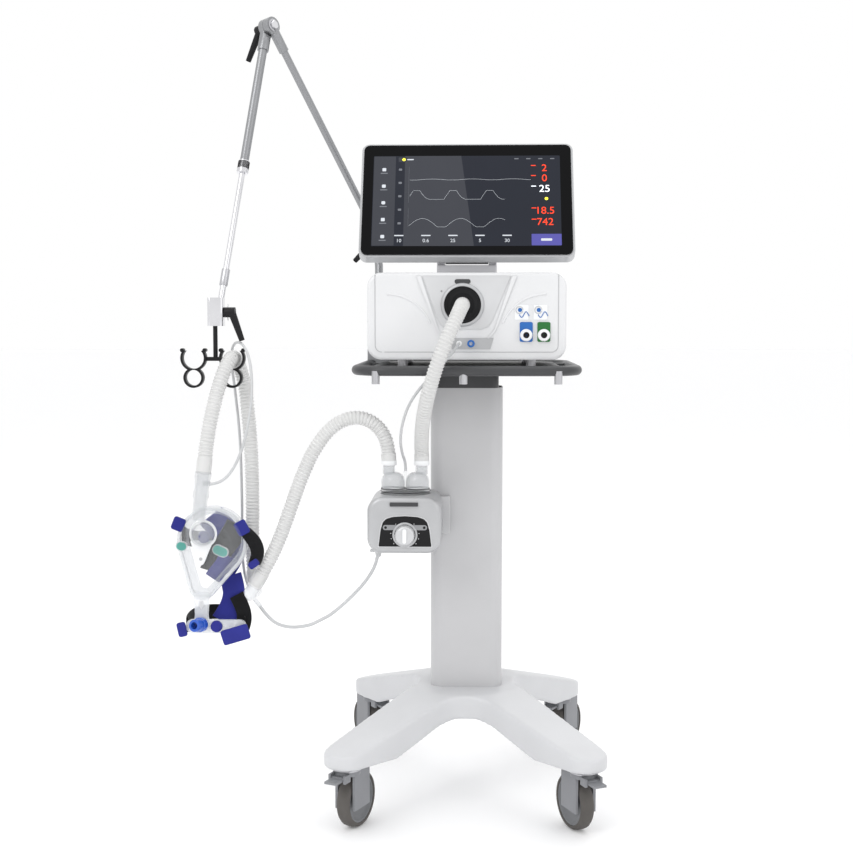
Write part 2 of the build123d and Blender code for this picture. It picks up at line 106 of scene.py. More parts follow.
def material(name, color, roughness=0.4, grain=900.0, bump=0.05, vary=0.04, **inputs):
    """Principled material: a broad noise shifts its colour, a fine one its roughness and surface."""
    made = bpy.data.materials.new(name)
    made.use_nodes = True
    tree = made.node_tree
    shader = tree.nodes["Principled BSDF"]
    place = add_node(tree, "TexCoord")
    fine = add_node(tree, "TexNoise", Scale=grain, Detail=3.0)
    broad = add_node(tree, "TexNoise", Scale=14.0)
    ramp = add_node(tree, "ValToRGB")
    for stop, position, shade in zip(ramp.color_ramp.elements, (0.35, 0.65), (1 - vary, 1 + vary)):
        stop.position = position
        stop.color = [min(1, c * shade) for c in color] + [1]
    rough = add_node(tree, "MapRange", To_Min=roughness * 0.85, To_Max=min(1.0, roughness * 1.15))
    dents = add_node(tree, "Bump", Strength=bump, Distance=0.0004)
    join = tree.links.new
    join(place.outputs["Object"], fine.inputs["Vector"])
    join(place.outputs["Object"], broad.inputs["Vector"])
    join(broad.outputs["Fac"], ramp.inputs["Fac"])
    join(ramp.outputs["Color"], shader.inputs["Base Color"])
    join(fine.outputs["Fac"], rough.inputs["Value"])
    join(rough.outputs["Result"], shader.inputs["Roughness"])
    join(fine.outputs["Fac"], dents.inputs["Height"])
    join(dents.outputs["Normal"], shader.inputs["Normal"])
    set_inputs(shader, inputs)
    return made


def woven(name, color):
    """Knitted fabric: fine diagonal ribs in the surface."""
    made = material(name, color, roughness=0.85, grain=1500, vary=0.12, Sheen_Weight=0.12,
                    Specular_IOR_Level=0.2)
    tree = made.node_tree
    place = add_node(tree, "TexCoord")
    ribs = add_node(tree, "TexWave", Scale=260.0)
    ribs.bands_direction = "DIAGONAL"
    lift = add_node(tree, "Bump", Strength=0.5, Distance=0.0008)
    join = tree.links.new
    join(place.outputs["Object"], ribs.inputs["Vector"])
    join(ribs.outputs["Fac"], lift.inputs["Height"])
    join(lift.outputs["Normal"], tree.nodes["Principled BSDF"].inputs["Normal"])
    return made


def glowing(name, color, strength):
    """A lit part of the display."""
    return material(name, color, roughness=0.3, bump=0.0, vary=0.02, Specular_IOR_Level=0.1,
                    Emission_Color=(*color, 1), Emission_Strength=strength)


WHITE_PAINT = material("white_powder_coat", (0.60, 0.605, 0.62), 0.42, grain=1400, bump=0.12, vary=0.015)
COLUMN_PAINT = material("column_paint", (0.52, 0.52, 0.53), 0.36, grain=1400, bump=0.08, vary=0.015)
DARK_PAINT = material("dark_paint", (0.04, 0.041, 0.044), 0.4, grain=1200, bump=0.15, vary=0.1)
STEEL = material("brushed_steel", (0.52, 0.52, 0.54), 0.3, grain=500, bump=0.05, Metallic=1.0)
CHROME = material("chrome", (0.72, 0.72, 0.74), 0.12, grain=300, bump=0.02, Metallic=1.0)
ARM_GREY = material("anodised_grey", (0.30, 0.305, 0.315), 0.34, grain=1500, bump=0.1, Metallic=0.75)
CASTER_GREY = material("caster_plastic", (0.22, 0.225, 0.24), 0.45, grain=900, bump=0.2, vary=0.05)
TYRE = material("tyre_rubber", (0.085, 0.078, 0.072), 0.7, grain=700, bump=0.3, vary=0.15)
WHEEL_CORE = material("wheel_core", (0.16, 0.165, 0.175), 0.45, grain=900, bump=0.15)
HOUSING = material("housing_plastic", (0.70, 0.705, 0.715), 0.28, grain=1600, bump=0.06, vary=0.012,
                   Coat_Weight=0.25)
SILVER_PLASTIC = material("silver_plastic", (0.46, 0.465, 0.475), 0.32, grain=1600, bump=0.06, Metallic=0.35)
PALE_SILVER = material("pale_silver_plastic", (0.60, 0.605, 0.615), 0.3, grain=1500, bump=0.05, Metallic=0.25)
BLACK = material("black_plastic", (0.006, 0.006, 0.007), 0.42, grain=900, bump=0.15, vary=0.2,
                 Specular_IOR_Level=0.25)
GLASS_BLACK = material("cover_glass", (0.002, 0.002, 0.0025), 0.08, grain=60, bump=0.0,
                       Specular_IOR_Level=0.12)
DISPLAY = glowing("display_grey", (0.016, 0.018, 0.025), 0.35)
# Lighter glowing grey for the menu panels, and for the sheen: a reflection painted onto the display
DISPLAY_PANEL_AND_SHEEN = glowing("display_panel_and_painted_sheen", (0.038, 0.040, 0.048), 0.35)
HOSE = material("milky_hose", (0.75, 0.75, 0.745), 0.3, grain=700, bump=0.05, vary=0.02,
                Transmission_Weight=0.15, Alpha=0.9)
LINE = material("soft_line", (0.62, 0.63, 0.64), 0.3, grain=800, bump=0.03, Transmission_Weight=0.2)
CLEAR = material("clear_plastic", (0.86, 0.88, 0.90), 0.08, grain=90, bump=0.02, vary=0.01,
                 Alpha=0.08, Coat_Weight=0.6)
CLEAR_TUBE = material("clear_tube", (0.62, 0.64, 0.66), 0.1, grain=90, bump=0.02, vary=0.03,
                      Alpha=0.3, Coat_Weight=0.6)
CLEAR_RIM = material("clear_rim", (0.84, 0.86, 0.88), 0.12, grain=90, bump=0.02, vary=0.01,
                     Alpha=0.5, Coat_Weight=0.6)
SILICONE = material("clear_silicone", (0.72, 0.75, 0.79), 0.2, grain=200, bump=0.03, vary=0.02,
                    Alpha=0.3, Coat_Weight=0.3)
BLUE_FABRIC = woven("blue_fabric", (0.026, 0.030, 0.235))
BLACK_FABRIC = woven("black_fabric", (0.005, 0.005, 0.006))
BLUE_PLASTIC = material("blue_plastic", (0.015, 0.09, 0.50), 0.25, grain=500, bump=0.04, Coat_Weight=0.4)
TILE_BLUE = material("tile_blue", (0.01, 0.12, 0.42), 0.35, grain=700, bump=0.05)
TILE_GREEN = material("tile_green", (0.008, 0.14, 0.02), 0.35, grain=700, bump=0.05)
TEAL = material("teal_plastic", (0.10, 0.42, 0.36), 0.3, grain=500, bump=0.05, Transmission_Weight=0.3)
WHITE_PLASTIC = material("white_plastic", (0.82, 0.83, 0.84), 0.3, grain=900, bump=0.05, vary=0.01)


# ---- mesh helpers ----
SHARP_ANGLE = 40
SOLID_R = 1.5  # a turned piece whose profile starts nearer its axis than this is solid, in millimetres


def add_mesh(name, points, faces, body, look, smooth=True):
    mesh = bpy.data.meshes.new(name)
    mesh.from_pydata([tuple(p) for p in points], [], faces)
    piece = bpy.data.objects.new(name, mesh)
    link(piece)
    return dress(piece, body, look, smooth)


def dress(piece, body, look, smooth=True):
    """Gives a new piece clean normals, its material and its body."""
    cleaned = bmesh.new()
    cleaned.from_mesh(piece.data)
    bmesh.ops.recalc_face_normals(cleaned, faces=cleaned.faces)
    cleaned.to_mesh(piece.data)
    cleaned.free()
    piece.data.materials.clear()
    piece.data.materials.append(look)
    if smooth:
        for face in piece.data.polygons:
            face.use_smooth = True
        piece.data.set_sharp_from_angle(angle=math.radians(SHARP_ANGLE))
    if body:
        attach(piece, body)
    return piece


def rings_to_faces(count, around, closed=False):
    """Faces between rings of points, capped at both ends, or closed from the last ring to the first."""
    faces = []
    for k in range(count - 1):
        for i in range(around):
            j = (i + 1) % around
            faces.append((k * around + i, k * around + j, (k + 1) * around + j, (k + 1) * around + i))
    last = (count - 1) * around
    if closed:
        return faces + [(last + i, last + (i + 1) % around, (i + 1) % around, i) for i in range(around)]
    return faces + [tuple(reversed(range(around))), tuple(last + i for i in range(around))]


def frames_along(line):
    """A tangent and two square directions at each point of a line, turning as little as they can."""
    steps = np.gradient(line, axis=0)
    tangents = steps / np.linalg.norm(steps, axis=1)[:, None]
    across = np.cross(tangents[0], (0.31, 0.92, 0.24))
    frames = []
    for t in tangents:
        across = across - t * np.dot(across, t)
        across = across / np.linalg.norm(across)
        frames.append((t, across, np.cross(t, across)))
    return frames


def sweep_rings(line, radii, around=28):
    """Rings of points round a line."""
    angles = np.arange(around) * 2 * math.pi / around
    points = []
    for middle, radius, (_, a, b) in zip(line, radii, frames_along(line)):
        for angle in angles:
            points.append(middle + radius * (math.cos(angle) * a + math.sin(angle) * b))
    return points


def lathe(name, body, look, start, axis, profile, around=48):
    """A turned piece: profile is (distance along the axis, radius) in millimetres. One that starts away from
    the axis is a ring, closed on itself."""
    start = np.array(start, float)
    axis = Vector(axis).normalized()
    a = axis.orthogonal().normalized()
    b = axis.cross(a)
    points = []
    for along, radius in profile:
        for i in range(around):
            angle = 2 * math.pi * i / around
            offset = axis * along + (a * math.cos(angle) + b * math.sin(angle)) * radius
            points.append(start * MM + np.array(offset) * MM)
    faces = rings_to_faces(len(profile), around, closed=profile[0][1] > SOLID_R)
    return add_mesh(name, points, faces, body, look)


def slab(name, body, look, outline, origin, right, up, thickness, bevel=0.4):
    """A flat plate with softened edges, its outline in millimetres along right and up. It grows along its
    normal."""
    origin, right, up = Vector(origin), Vector(right), Vector(up)
    out = right.cross(up).normalized()
    made = bmesh.new()
    loop = [made.verts.new((origin + right * u + up * v) * MM) for u, v in outline]
    face = made.faces.new(loop)
    grown = bmesh.ops.extrude_face_region(made, geom=[face])
    moved = [g for g in grown["geom"] if isinstance(g, bmesh.types.BMVert)]
    bmesh.ops.translate(made, verts=moved, vec=out * thickness * MM)
    if bevel:
        bmesh.ops.bevel(made, geom=list(made.edges), offset=bevel * MM, segments=2, affect="EDGES",
                        clamp_overlap=True)
    mesh = bpy.data.meshes.new(name)
    made.to_mesh(mesh)
    made.free()
    piece = bpy.data.objects.new(name, mesh)
    link(piece)
    return dress(piece, body, look)


def rounded(width, height, radius, steps=6):
    """Corner-rounded rectangle outline round its own centre."""
    points = []
    for cx, cz, first in ((1, 1, 0), (-1, 1, 90), (-1, -1, 180), (1, -1, 270)):
        middle_x = cx * (width / 2 - radius)
        middle_z = cz * (height / 2 - radius)
        points += arc_points(middle_x, middle_z, radius, first, first + 90, steps)
    return points


def arc_points(cx, cz, radius, first, last, steps=20):
    angles = [math.radians(first + (last - first) * k / steps) for k in range(steps + 1)]
    return [(cx + radius * math.cos(angle), cz + radius * math.sin(angle)) for angle in angles]


def turned(outline, degrees):
    """The outline turned round its own centre."""
    c = math.cos(math.radians(degrees))
    s = math.sin(math.radians(degrees))
    return [(u * c - v * s, u * s + v * c) for u, v in outline]


def paint(look, *names):
    """Gives carried-over nodes their material."""
    for name in names:
        mesh = nodes[name].data
        mesh.materials.clear()
        mesh.materials.append(look)


def soften(width, *names, segments=3, angle=35):
    """Rounds the sharp edges of carried-over nodes with modifiers."""
    for name in names:
        weld = nodes[name].modifiers.new("weld", "WELD")
        weld.merge_threshold = 0.02 * MM
        edge = nodes[name].modifiers.new("edge", "BEVEL")
        edge.width = width * MM
        edge.segments = segments
        edge.limit_method = "ANGLE"
        edge.angle_limit = math.radians(angle)
        edge.harden_normals = True


# ---- hoses and lines: the same routes as the frame's, in metres ----
def metres(*points):
    return [tuple(c * MM for c in p) for p in points]


SHORT_HOSE = metres((-7, -176, 921), (-7, -200, 921), (-17, -224, 898), (-35, -236, 858), (-52, -237, 812),
                    (-66, -222, 765), (-75, -190, 724), (-79, -158, 692), (-80, -137, 668),
                    (-80, -128, 652), (-80, -128, 636))
LIMB_A = metres((-139, -128, 636), (-139, -128, 660), (-147, -131, 690), (-166, -134, 712), (-193, -138, 722),
                (-223, -141, 716), (-251, -144, 694), (-276, -146, 656), (-286.5, -147, 632))
LIMB_B = metres((-286.5, -147, 632), (-297, -148, 608), (-315, -150, 556), (-334, -151, 503),
                (-357, -151, 455), (-380, -150, 418))
LIMB_C = metres((-388, -108, 418), (-390, -106, 450), (-391, -105, 492), (-390, -105, 545), (-390, -106, 600),
                (-391, -107, 652), (-394, -106, 700), (-398, -105, 742))
LIMB_D = metres((-398, -105, 742), (-400.8, -104.3, 771.4), (-407, -108, 800), (-412, -122, 822),
                (-416, -146, 830), (-421, -168, 820), (-430, -180, 794), (-440, -190, 756),
                (-449, -200, 711), (-454, -210, 667), (-457, -218, 628))
CABLE_A = metres((-158, -135, 484), (-159, -135, 464), (-174, -137, 432), (-206, -140, 396), (-243, -143, 364),
                 (-263, -144.5, 354))
CABLE_B = metres((-263, -144.5, 354), (-283, -146, 344), (-321, -147, 340), (-353, -146, 352),
                 (-372, -142, 378))
LINE_C = metres((-400, -98, 404), (-408, -92, 422), (-412, -90, 455), (-413, -90, 500), (-412, -89, 550),
                (-413, -88, 602), (-414, -87, 655), (-417, -86, 705), (-421, -87, 745))
LINE_D = metres((-421, -87, 745), (-424.6, -87.9, 781), (-428, -97, 816), (-424, -112, 842), (-413, -132, 856),
                (-397, -154, 853), (-383, -174, 834), (-375, -191, 801), (-373, -203, 759),
                (-378, -213, 716), (-387, -221, 672), (-404, -225, 634), (-426, -226, 612), (-445, -224, 610))
SENSOR_LINE = metres((-13, -160, 853), (-13, -178, 853), (-24, -200, 838), (-40, -211, 820), (-58, -212, 800),
                     (-80, -206, 777), (-100, -196, 748), (-112, -182, 714), (-117, -164, 682),
                     (-114, -146, 656), (-109, -128, 639), (-109, -128, 624))
HOSE_WIDTH, CABLE_WIDTH, LINE_WIDTH = 26.0, 6.0, 5.0
RIB_PITCH, RIB_HEIGHT, HOSE_CORE_R = 0.0062, 0.0019, 0.0112
CUFF, LAST_CUFF, CUFF_LIP = 0.022, 0.03, 0.003
CUFF_R, CUFF_LIP_R = 0.0133, 0.0124
ROUTE_STEP = 0.0009


def lengths(line):
    """The distance along a line at each of its points."""
    return np.concatenate([[0], np.cumsum(np.linalg.norm(np.diff(line, axis=0), axis=1))])


def resample(line, at):
    """The line's places at the given distances along it."""
    along = lengths(line)
    return np.stack([np.interp(at, along, line[:, k]) for k in range(line.shape[1])], axis=1)


def smooth_line(points):
    """Evenly spaced points along the route's own spline."""
    curve = bpy.data.curves.new("route", "CURVE")
    curve.dimensions = "3D"
    curve.resolution_u = 24
    spline = curve.splines.new("NURBS")
    spline.points.add(len(points) - 1)
    for knot, p in zip(spline.points, points):
        knot.co = (*p, 1)
    spline.order_u = 3
    spline.use_endpoint_u = True
    carrier = bpy.data.objects.new("route", curve)
    link(carrier)
    bpy.context.view_layer.update()
    mesh = bpy.data.meshes.new_from_object(carrier)
    raw = np.array([v.co for v in mesh.vertices], float)
    bpy.data.objects.remove(carrier)
    total = lengths(raw)[-1]
    return resample(raw, np.linspace(0, total, int(total / ROUTE_STEP) + 2))


def cut(line, point):
    """The line in two at its nearest place to a point, sharing that place."""
    at = int(np.argmin(np.linalg.norm(line - np.array(point), axis=1)))
    return line[:at + 1], line[at:]


def hose_radii(along, last_cuff=CUFF, started=0.0, whole=None):
    """Radius at each distance along a ribbed hose, or along a piece of one that starts at started. The whole
    hose has a plain cuff at each end."""
    whole = whole or along[-1]
    radii = []
    for t in along + started:
        rib = 0.5 + 0.5 * math.cos(2 * math.pi * t / RIB_PITCH)
        radius = HOSE_CORE_R + RIB_HEIGHT * rib ** 0.8
        if t < CUFF:
            radius = CUFF_R if t < CUFF - CUFF_LIP else CUFF_LIP_R
        if t > whole - last_cuff:
            radius = CUFF_R if t > whole - last_cuff + CUFF_LIP else CUFF_LIP_R
        radii.append(radius)
    return radii


def hose_piece(name, line, radii, look, node, place, around=28):
    """One tube, which rides on a body, or spans a joint and is fixed in place."""
    points = sweep_rings(line, radii, around)
    piece = add_mesh(name, points, rings_to_faces(len(line), around), None, look)
    if isinstance(place, str):
        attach(piece, place)
    else:
        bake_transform(piece)
    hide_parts(node)


def line_piece(node, line, width, place):
    """A thin cable or gas line of one width."""
    hose_piece("soft_" + node, line, [width * MM / 2] * len(line), LINE, node, place, 14)


def along_x(a, b, x0, x1):
    """Where a piece bends from body a to body b, between two places on X."""
    return (a, b, (x0 * MM, -0.14, 0.5), (x1 * MM, -0.14, 0.5))


def along_z(a, b, z0, z1):
    """Where a piece bends from body a to body b, between two heights beside the mask."""
    return (a, b, (-0.39, -0.11, z0 * MM), (-0.39, -0.11, z1 * MM))


def make_hoses():
    line = smooth_line(SHORT_HOSE)
    hose_piece("inspiratory_hose", line, hose_radii(lengths(line)), HOSE, "short_hose", "root")
    limbs = ((("limb_hose_a", "limb_hose_b"), LIMB_A, LIMB_B,
              (along_x("root", "arm_swivel_post", -160, -270),
               along_z("arm_swivel_post", "arm_lower", 612, 440))),
             (("limb_hose_c", "limb_hose_d"), LIMB_C, LIMB_D,
              (along_z("arm_lower", "arm_upper", 440, 735), "arm_upper")))
    for names, near, far, places in limbs:
        whole = smooth_line(near + far[1:])
        total = lengths(whole)[-1]
        started = 0.0
        for part, name, place in zip(cut(whole, near[-1]), names, places):
            along = lengths(part)
            radii = hose_radii(along, LAST_CUFF, started, total)
            hose_piece("ribbed_" + name, part, radii, HOSE, name, place)
            started += along[-1]
    lines = ((("cable_a", "cable_b"), CABLE_A, CABLE_B, CABLE_WIDTH,
              (along_x("root", "arm_swivel_post", -170, -256),
               along_x("arm_swivel_post", "arm_lower", -270, -355))),
             (("pressure_line_c", "pressure_line_d"), LINE_C, LINE_D, LINE_WIDTH,
              (along_z("arm_lower", "arm_upper", 425, 735), "arm_upper")))
    for names, near, far, width, places in lines:
        for part, name, place in zip(cut(smooth_line(near + far[1:]), near[-1]), names, places):
            line_piece(name, part, width, place)
    line_piece("sensor_line", smooth_line(SENSOR_LINE), LINE_WIDTH, "root")


make_hoses()


# ---- cart ----
SWIVEL_RING_Z = 112.0


def moulded(name, node, look, voxel, rounds):
    """A copy of a node with its edges rounded over, by a fine remesh and smoothing, in the node's place."""
    piece = bpy.data.objects.new(name, nodes[node].data.copy())
    link(piece)
    remesh = piece.modifiers.new("remesh", "REMESH")
    remesh.mode = "VOXEL"
    remesh.voxel_size = voxel
    relax = piece.modifiers.new("relax", "SMOOTH")
    relax.factor = 0.5
    relax.iterations = rounds
    bpy.context.view_layer.update()
    seen = piece.evaluated_get(bpy.context.evaluated_depsgraph_get())
    rounded_mesh = bpy.data.meshes.new_from_object(seen)
    piece.modifiers.clear()
    piece.data = rounded_mesh
    rounded_mesh.materials.clear()
    rounded_mesh.materials.append(look)
    for face in rounded_mesh.polygons:
        face.use_smooth = True
    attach(piece, "root")
    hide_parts(node)
    return piece


def make_cart():
    moulded("base_moulding", "base", WHITE_PAINT, 0.0035, 16)
    paint(COLUMN_PAINT, "column", "humidifier_bracket")
    paint(DARK_PAINT, "column_head", "handle_rail", "tray")
    soften(2.5, "column_head", "humidifier_bracket")
    soften(1.5, "tray")
    paint(STEEL, "caster_plates", "tray_fasteners")


def make_wheel(corner):
    """Tyre with rounded shoulders, dished core with a hub boss on both sides."""
    body = corner + "_wheel"
    low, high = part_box(body)
    middle = (low + high) / 2 / MM
    _, axis = joint_place(corner + "_roll")
    tread = mirrored([(-9, 41), (-12, 42), (-13, 44), (-12.2, 46.6), (-9, 49.2), (-4, 50)])
    tyre = lathe(corner + "_tyre", body, TYRE, middle, axis, tread, 72)
    core = mirrored([(-12, 5.2), (-12.6, 9), (-10.5, 11), (-7, 13), (-6, 30), (-8, 36), (-11, 38.5),
                     (-11, 41.5), (-8, 42)])
    lathe(corner + "_core", body, WHEEL_CORE, middle, axis, core, 72)
    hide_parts(body)


def mirrored(half):
    """A profile made of a half and its mirror image."""
    return half + [(-along, radius) for along, radius in reversed(half)]


def make_casters():
    for corner in CORNERS:
        paint(CASTER_GREY, corner + "_fork", corner + "_brake")
        soften(2.2, corner + "_fork")
        soften(1.0, corner + "_brake")
        make_wheel(corner)
        place, _ = joint_place(corner + "_swivel")
        lathe(corner + "_swivel_ring", corner + "_caster", STEEL, (place.x, place.y, SWIVEL_RING_Z), UP,
              [(0, 24.2), (0, 25.4), (1.5, 26), (3, 25.4), (3, 24.2)], 64)


# ---- ventilator ----
FRONT_Y, BACK_Y, SIDE_X = -152.0, 150.0, 176.0
PORT_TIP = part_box("sensor_ports")[0][1] / MM
PORT_X, PORT_Z = -7, 921
CENTRE_Z = 912
BACKWARDS_RIGHT = (-1, 0, 0)


def on_panel(name, look, outline, center, lift, thickness, bevel=0.4):
    """A plate on the front panel, whose back is lift millimetres in front of it."""
    x, z = center
    return slab(name, "root", look, outline, (x, FRONT_Y - lift, z), RIGHT, UP, thickness, bevel)


def line_on_panel(name, points, look, width, lift=1.0):
    path = np.array([(x, FRONT_Y - lift, z) for x, z in points], float) * MM
    rings = sweep_rings(path, [width * MM / 2] * len(path), 8)
    return add_mesh(name, rings, rings_to_faces(len(path), 8), "root", look)


def make_panel_relief():
    """The raised centre of the front panel, the seam round it and its curved lines."""
    centre_plate = [(-78, 60), (78, 60), (46, -18), (38, -30), (26, -34), (-36, -34), (-46, -26), (-52, -14)]
    on_panel("centre_plate", PALE_SILVER, centre_plate, (0, CENTRE_Z), 0, 2.0, 0.8)
    strip = [(80, 60), (89, 60), (52, -36), (40, -50), (36, -50), (49, -34)]
    seam = [(161.5, 974 - 4 * k) for k in range(32)] + arc_points(149.5, 850, 12, 0, -90, 10)[1:]
    for side, hand in SIDES:
        edge = [(side * x, z) for x, z in strip][::side]
        on_panel("centre_edge_" + hand, HOUSING, edge, (0, CENTRE_Z), 0, 3.0, 0.8)
        line_on_panel("panel_seam_" + hand, [(side * x, z) for x, z in seam], SILVER_PLASTIC, 1.4, 0.1)
        arch = arc_points(side * 140, 858, 82, 90, 90 + side * 68, 24)
        line_on_panel("panel_swoosh_" + hand, arch, HOUSING, 5.0, -0.9)
    line_on_panel("panel_seam_low", [(149 - 6 * k, 838) for k in range(50)], SILVER_PLASTIC, 1.4, 0.1)
    on_panel("name_plate_blank", DARK_PAINT, rounded(28, 8, 3.9, 8), (PORT_X, 962), 1.6, 1.4, 0.5)
    on_panel("button_led", ARM_GREY, rounded(3.4, 3.4, 1.6, 6), (-44, 945), 1.6, 0.9, 0.2)


def make_main_port():
    """The port of the breathing hose, and the small one under it."""
    lathe("port_bezel", "root", SILVER_PLASTIC, (PORT_X, FRONT_Y + 1, PORT_Z), FORWARDS,
          [(0, 31.5), (0, 38.5), (4, 38.5), (6.5, 36.8), (8, 34.6), (8, 32.8), (4, 31.5)], 96)
    lathe("port_dish", "root", BLACK, (PORT_X, FRONT_Y - 1.5, PORT_Z), FORWARDS,
          [(0, 11.4), (1.2, 11.4), (1.6, 20), (2.4, 21), (2.2, 27), (5.0, 32.9), (0, 32.9)], 96)
    paint(BLACK, "port_ring")
    paint(WHITE_PLASTIC, "port_connector")
    lower_plate = [(-26, 8), (52, 8), (46, -12), (-22, -12)]
    on_panel("lower_port_plate", SILVER_PLASTIC, lower_plate, (-4, 855), 0, 1.2, 0.5)
    lathe("blue_port_cap", "root", TILE_BLUE, (8, FRONT_Y - 6, 853), FORWARDS,
          [(0, 3), (0, 6.6), (5, 6.6), (6, 5.6), (6, 3.4), (3, 3)], 40)


def make_sensor_ports():
    """Two ports on coloured tiles, each with a plain picture card above it."""
    for k, tile in enumerate((TILE_BLUE, TILE_GREEN)):
        x = 105 + 31 * k
        on_panel(f"port_tile_{k}", tile, rounded(23, 35, 3, 5), (x, 873.5), 3.0, 0.8, 0.3)
        lathe(f"port_collar_{k}", "root", WHITE_PLASTIC, (x, FRONT_Y - 3, 868), FORWARDS,
              [(0, 5.6), (0, 10.8), (6, 10.8), (7.5, 9.8), (7.5, 6.6), (5, 5.6)], 48)
        lathe(f"port_seal_{k}", "root", BLACK, (x, PORT_TIP + 2.5, 868), FORWARDS,
              [(0, 2.2), (0, 5.5), (3.0, 5.5), (3.4, 5.0), (3.4, 2.4), (3.0, 2.2)], 48)
        card = x - 8 + 2 * k
        on_panel(f"guide_card_{k}", WHITE_PLASTIC, rounded(24, 26, 2, 4), (card, 908), 0.2, 0.4, 0.1)
        line_on_panel(f"guide_ring_{k}", arc_points(card - 4, 912, 6.2, 0, 340, 24), LINE, 1.5)
        on_panel(f"guide_face_{k}", TILE_BLUE, rounded(7, 7, 3, 5), (card - 3, 912), 0.9, 0.5, 0.1)
        wave = [(card - 4 + 0.5 * t, 904 - 5 * math.sin(t / 5)) for t in range(0, 36, 2)]
        line_on_panel(f"guide_wave_{k}", wave, TILE_BLUE, 1.5)
    paint(WHITE_PLASTIC, "sensor_ports")


def make_housing_rear():
    """Vents at the back and the side, and the mains inlet."""
    for k in range(9):
        slab(f"rear_vent_{k}", "root", BLACK, rounded(110, 3.4, 1.6, 4), (60, BACK_Y, 862 + 8 * k),
             BACKWARDS_RIGHT, UP, 0.6, 0.15)
        slab(f"side_vent_{k}", "root", SILVER_PLASTIC, rounded(120, 2.6, 1.2, 4), (SIDE_X, 20, 868 + 7.5 * k),
             (0, 1, 0), UP, 0.7, 0.2)
    for name, look, outline, place, thickness, bevel in (
            ("rear_inlet_plate", SILVER_PLASTIC, rounded(56, 70, 5, 5), (-120, BACK_Y, 872), 1.4, 0.4),
            ("mains_inlet", BLACK, rounded(29, 21, 3, 4), (-60, BACK_Y, 846), 3.0, 0.6),
            ("mains_inlet_well", DARK_PAINT, rounded(22, 14, 2, 4), (-60, BACK_Y + 3, 846), 0.5, 0.1)):
        slab(name, "root", look, outline, place, BACKWARDS_RIGHT, UP, thickness, bevel)


def make_housing():
    paint(HOUSING, "housing", "front_panel")
    soften(3, "housing", segments=4, angle=60)
    make_panel_relief()
    make_main_port()
    make_sensor_ports()
    paint(STEEL, "hinge_bracket")
    soften(2.5, "hinge_bracket")
    paint(BLACK, "blower")
    paint(CHROME, "oxygen_inlet")
    make_housing_rear()


# ---- monitor ----
TILT = math.radians(26)
GLASS_FOOT = Vector((0, -150, 1010))
GLASS_UP = Vector((0, math.sin(TILT), math.cos(TILT)))
GLASS_OUT = Vector((0, -math.cos(TILT), math.sin(TILT)))
MONITOR_BACK = -30.0
DRAWING_MIDDLE, DISPLAY_MIDDLE = 119, 108.5  # heights above the glass's foot
WIDER, TALLER = 0.977, 0.954  # from the drawing of the display to its size on the glass
TRACE_LIFT, TRACE_STEPS = 0.5, 260
FONT_PER_HEIGHT = 1.35


def on_glass(u, v, lift=0.0):
    return GLASS_FOOT + Vector((u, 0, 0)) + GLASS_UP * v + GLASS_OUT * lift


def on_display(u, v):
    """Where a place on the 344 by 194 drawing of the display is on the glass."""
    return WIDER * u - 1, DISPLAY_MIDDLE + TALLER * (v - DRAWING_MIDDLE)


def screen_slab(name, look, outline, center, lift, thickness=0.25, bevel=0.0):
    outline = [(WIDER * u, TALLER * v) for u, v in outline]
    place = on_glass(*on_display(*center), lift)
    return slab(name, "monitor", look, outline, place, RIGHT, GLASS_UP, thickness, bevel)


def screen_trace(name, look, points, width):
    path = np.array([on_glass(*on_display(u, v), TRACE_LIFT) for u, v in points], float) * MM
    rings = sweep_rings(path, [width * MM / 2] * len(path), 6)
    return add_mesh(name, rings, rings_to_faces(len(path), 6), "monitor", look)


def screen_number(name, look, value, center, height):
    """Raised figures on the display, as a mesh of their own."""
    text = bpy.data.curves.new(name, "FONT")
    text.body = value
    text.size = height * MM * FONT_PER_HEIGHT
    text.align_x = "CENTER"
    text.align_y = "CENTER"
    text.extrude = 0.0001
    carrier = bpy.data.objects.new(name + "_text", text)
    link(carrier)
    bpy.context.view_layer.update()
    mesh = bpy.data.meshes.new_from_object(carrier)
    bpy.data.objects.remove(carrier)
    turn = Matrix((RIGHT, GLASS_UP, GLASS_OUT)).transposed().to_4x4()
    mesh.transform(Matrix.Translation(on_glass(*on_display(*center), TRACE_LIFT) * MM) @ turn)
    piece = bpy.data.objects.new(name, mesh)
    link(piece)
    return dress(piece, "monitor", look, smooth=False)


def flow(t):
    """One breath's steep rise to a plateau and slower fall, repeated at every whole t."""
    t = t % 1.0
    rise = min(1, t / 0.16)
    fall = min(1, max(0, (t - 0.34) / 0.28))
    return rise - (1 - (1 - fall) ** 2)


def hump(t):
    """One breath's rounded rise and fall, repeated at every whole t."""
    return math.sin(math.pi * min(1, t % 1.0 / 0.8)) ** 1.1


